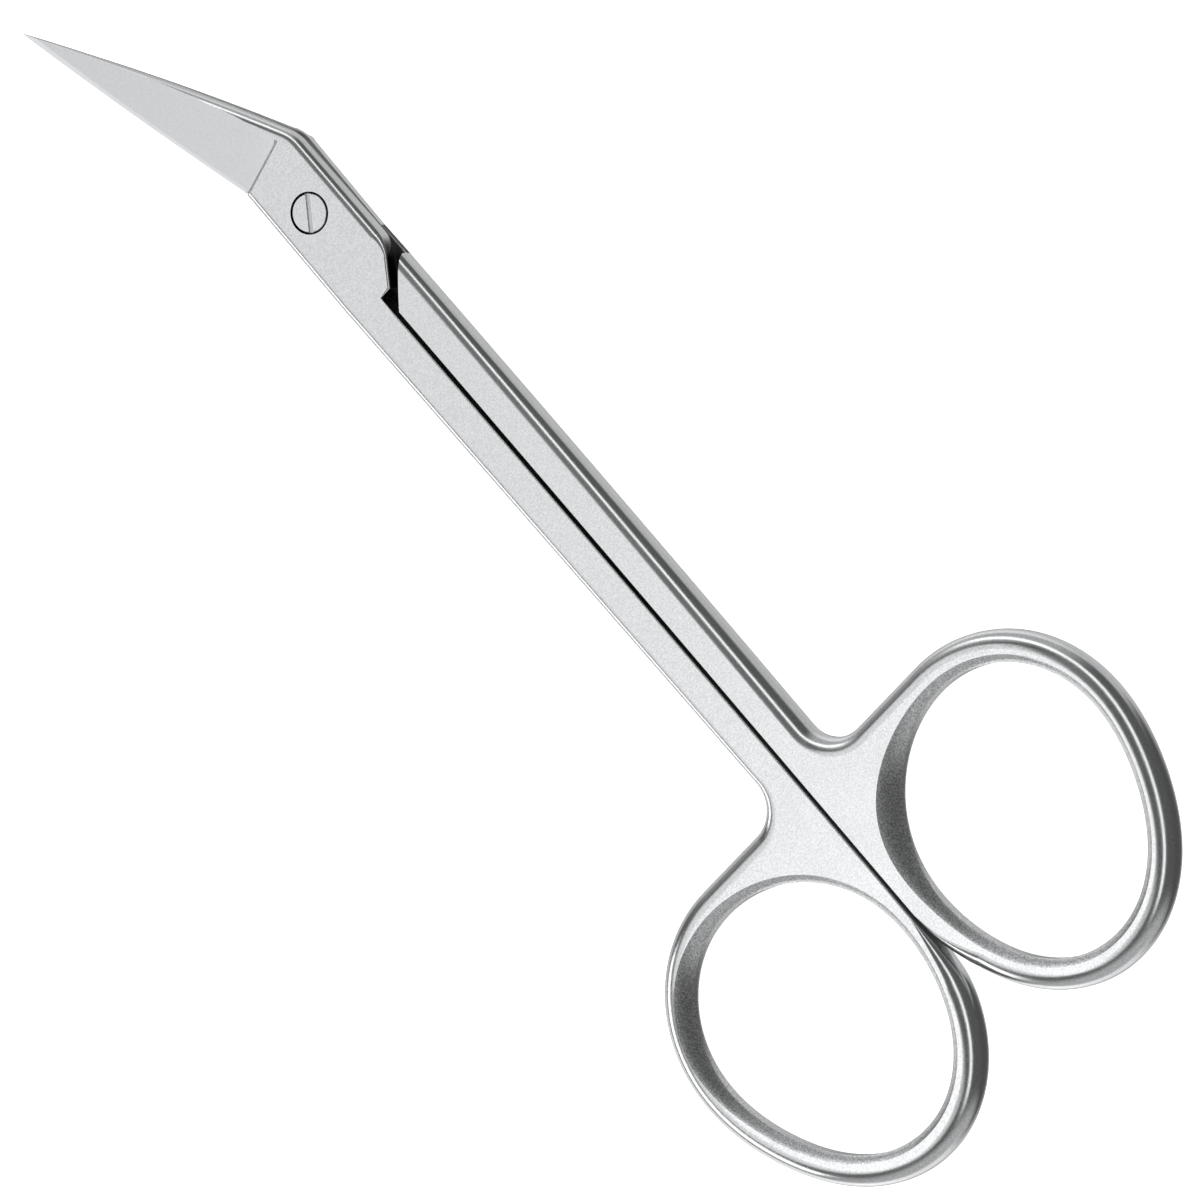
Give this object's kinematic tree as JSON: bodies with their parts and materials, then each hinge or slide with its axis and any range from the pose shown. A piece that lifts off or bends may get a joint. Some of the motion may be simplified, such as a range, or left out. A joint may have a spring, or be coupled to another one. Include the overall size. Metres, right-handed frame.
{
  "type": "toenail scissors",
  "caption": "Slim all-steel toenail scissors with angled pointed blades, long straight shanks and oval finger rings that turn on a flush slotted screw.",
  "frame": {"origin": "pivot axis at the rear half's flat back, on which the closed scissors lie", "axes": "+X along the shanks towards the finger rings, +Y towards the rear half's finger ring, +Z along the pivot axis towards the screw's head"},
  "size_m": [0.1172, 0.048, 0.003],
  "materials": {
    "front_steel": "satin-polished stainless steel",
    "rear_steel": "satin-polished stainless steel",
    "screw_steel": "ground stainless steel"
  },
  "bodies": {
    "rear": {"rear_half": "rear_steel", "pivot_screw": "screw_steel"},
    "front": {"front_half": "front_steel"}
  },
  "joints": [
    {"name": "pivot", "type": "hinge", "parent": "rear", "child": "front", "pos_m": [0, 0, 0.0015], "axis": [0, 0, -1], "range_deg": [0, 60]}
  ]
}
